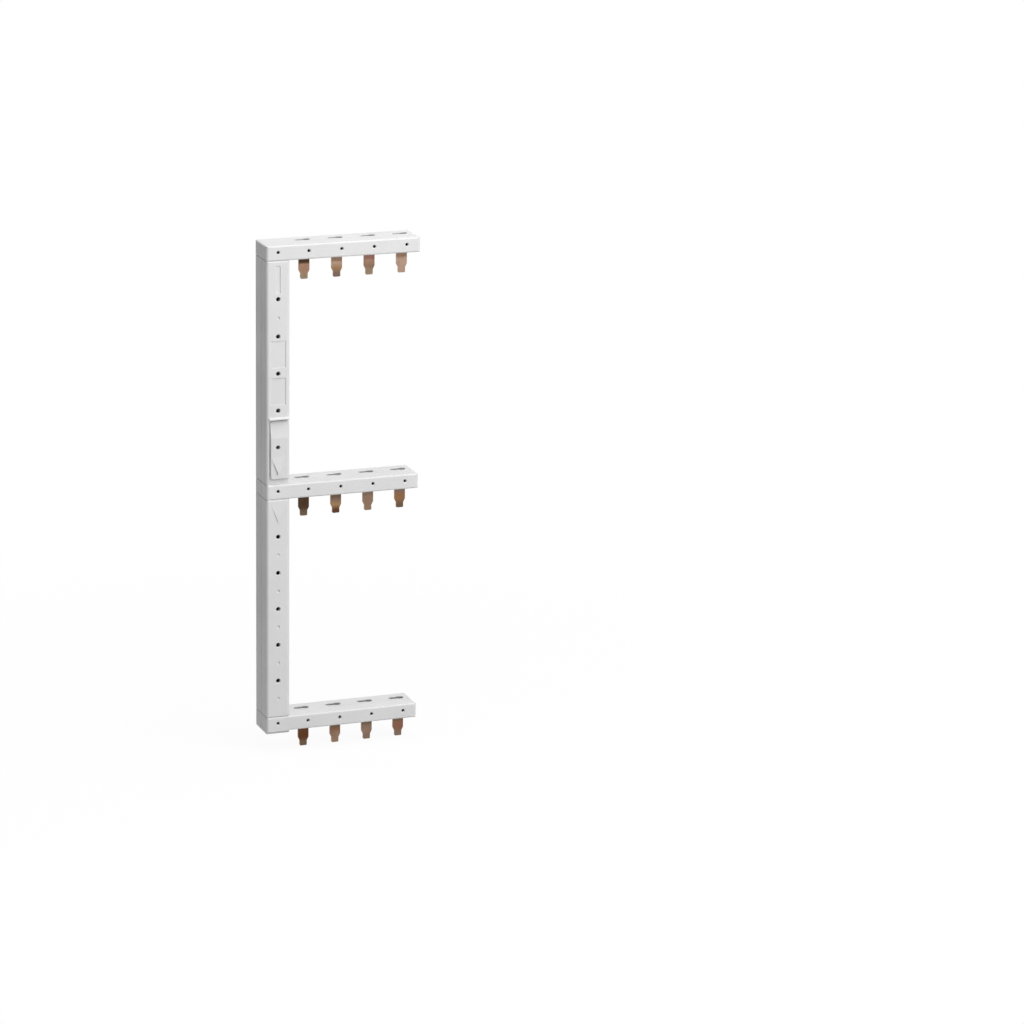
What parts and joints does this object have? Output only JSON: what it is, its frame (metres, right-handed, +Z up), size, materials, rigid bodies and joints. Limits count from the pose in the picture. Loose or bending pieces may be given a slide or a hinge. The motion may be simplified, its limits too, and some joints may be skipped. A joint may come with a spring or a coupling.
{
  "type": "comb busbar",
  "caption": "Upright insulated comb busbar: a slim pale spine with an arm at each device row, and bare copper blades that point down from every arm.",
  "frame": {"origin": "the middle row's first blade, where it leaves the underside of its arm, on the blade's centre line", "axes": "+X along the arms away from the spine, +Y from the front to the rear, +Z up; the blades point along -Z"},
  "size_m": [0.0826, 0.0198, 0.2697],
  "materials": {
    "housing": "satin moulded plastic, light grey",
    "access_plate": "satin moulded plastic, light grey",
    "copper": "bare rolled copper",
    "separator": "matt insulating sheet",
    "plug": "matt dark grey plastic",
    "rivet": "tinned copper rivet"
  },
  "bodies": {
    "root": {"top_front_shell": "housing", "middle_front_shell": "housing", "bottom_front_shell": "housing", "top_rear_shell": "housing", "middle_rear_shell": "housing", "bottom_rear_shell": "housing", "upper_casing_front": "housing", "lower_casing_front": "housing", "upper_casing_rear": "housing", "lower_casing_rear": "housing", "access_plate": "access_plate", "top_plugs": "plug", "middle_plugs": "plug", "bottom_plugs": "plug", "riser_1": "copper", "riser_2": "copper", "riser_3": "copper", "riser_4": "copper", "upper_separator_1": "separator", "upper_separator_2": "separator", "upper_separator_3": "separator", "lower_separator_1": "separator", "lower_separator_2": "separator", "lower_separator_3": "separator", "top_blade_1": "copper", "top_blade_2": "copper", "top_blade_3": "copper", "top_blade_4": "copper", "middle_blade_1": "copper", "middle_blade_2": "copper", "middle_blade_3": "copper", "middle_blade_4": "copper", "bottom_blade_1": "copper", "bottom_blade_2": "copper", "bottom_blade_3": "copper", "bottom_blade_4": "copper", "top_rivets": "rivet", "middle_rivets": "rivet", "bottom_rivets": "rivet"}
  },
  "joints": []
}
